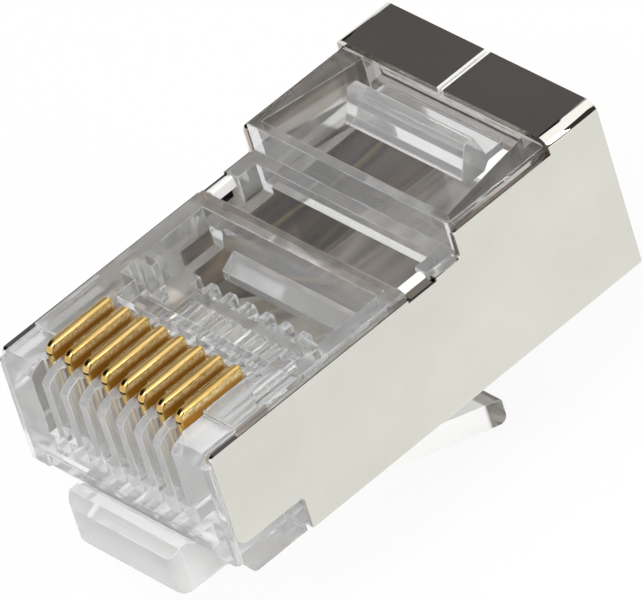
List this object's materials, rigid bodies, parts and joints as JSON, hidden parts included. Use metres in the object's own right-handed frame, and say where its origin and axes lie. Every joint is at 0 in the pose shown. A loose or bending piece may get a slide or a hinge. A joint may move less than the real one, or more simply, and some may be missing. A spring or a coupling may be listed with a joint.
{
  "type": "rj45 modular plug",
  "caption": "Shielded modular plug for twisted-pair cable, clear housing with raised contact blades, latch lever and open cable entry, not yet crimped.",
  "frame": {"origin": "foot of the nose's front face, on the centre line, level with the bottom of the shield", "axes": "+X across the plug, +Y from the nose to the cable entry, +Z to the contact side"},
  "size_m": [0.0116, 0.0214, 0.0136],
  "materials": {
    "clear_plastic": "clear polycarbonate, polished",
    "plated_sheet": "nickel-plated sheet, smooth satin",
    "gold_contact": "gold-plated, satin"
  },
  "bodies": {
    "root": {"housing": "clear_plastic", "shield": "plated_sheet"},
    "latch": {"latch_lever": "clear_plastic"},
    "cable_bar": {"cable_clamp": "clear_plastic"},
    "wire_bar": {"wire_clamp": "clear_plastic"},
    "contact_1_body": {"contact_1": "gold_contact"},
    "contact_2_body": {"contact_2": "gold_contact"},
    "contact_3_body": {"contact_3": "gold_contact"},
    "contact_4_body": {"contact_4": "gold_contact"},
    "contact_5_body": {"contact_5": "gold_contact"},
    "contact_6_body": {"contact_6": "gold_contact"},
    "contact_7_body": {"contact_7": "gold_contact"},
    "contact_8_body": {"contact_8": "gold_contact"}
  },
  "joints": [
    {"name": "latch_flex", "type": "hinge", "parent": "root", "child": "latch", "pos_m": [0, 0, 0.00098], "axis": [1, 0, 0], "range_deg": [0, 14], "stiffness_Nm_per_rad": 0.2},
    {"name": "cable_clamp_press", "type": "hinge", "parent": "root", "child": "cable_bar", "pos_m": [0, 0.0179, 0.0065], "axis": [1, 0, 0], "range_deg": [0, 40]},
    {"name": "wire_clamp_press", "type": "hinge", "parent": "root", "child": "wire_bar", "pos_m": [0, 0.00967, 0.00435], "axis": [1, 0, 0], "range_deg": [0, 35]},
    {"name": "contact_1_crimp", "type": "slide", "parent": "root", "child": "contact_1_body", "axis": [0, 0, -1], "range_m": [0, 0.00085]},
    {"name": "contact_2_crimp", "type": "slide", "parent": "root", "child": "contact_2_body", "axis": [0, 0, -1], "range_m": [0, 0.00085]},
    {"name": "contact_3_crimp", "type": "slide", "parent": "root", "child": "contact_3_body", "axis": [0, 0, -1], "range_m": [0, 0.00085]},
    {"name": "contact_4_crimp", "type": "slide", "parent": "root", "child": "contact_4_body", "axis": [0, 0, -1], "range_m": [0, 0.00085]},
    {"name": "contact_5_crimp", "type": "slide", "parent": "root", "child": "contact_5_body", "axis": [0, 0, -1], "range_m": [0, 0.00085]},
    {"name": "contact_6_crimp", "type": "slide", "parent": "root", "child": "contact_6_body", "axis": [0, 0, -1], "range_m": [0, 0.00085]},
    {"name": "contact_7_crimp", "type": "slide", "parent": "root", "child": "contact_7_body", "axis": [0, 0, -1], "range_m": [0, 0.00085]},
    {"name": "contact_8_crimp", "type": "slide", "parent": "root", "child": "contact_8_body", "axis": [0, 0, -1], "range_m": [0, 0.00085]}
  ]
}
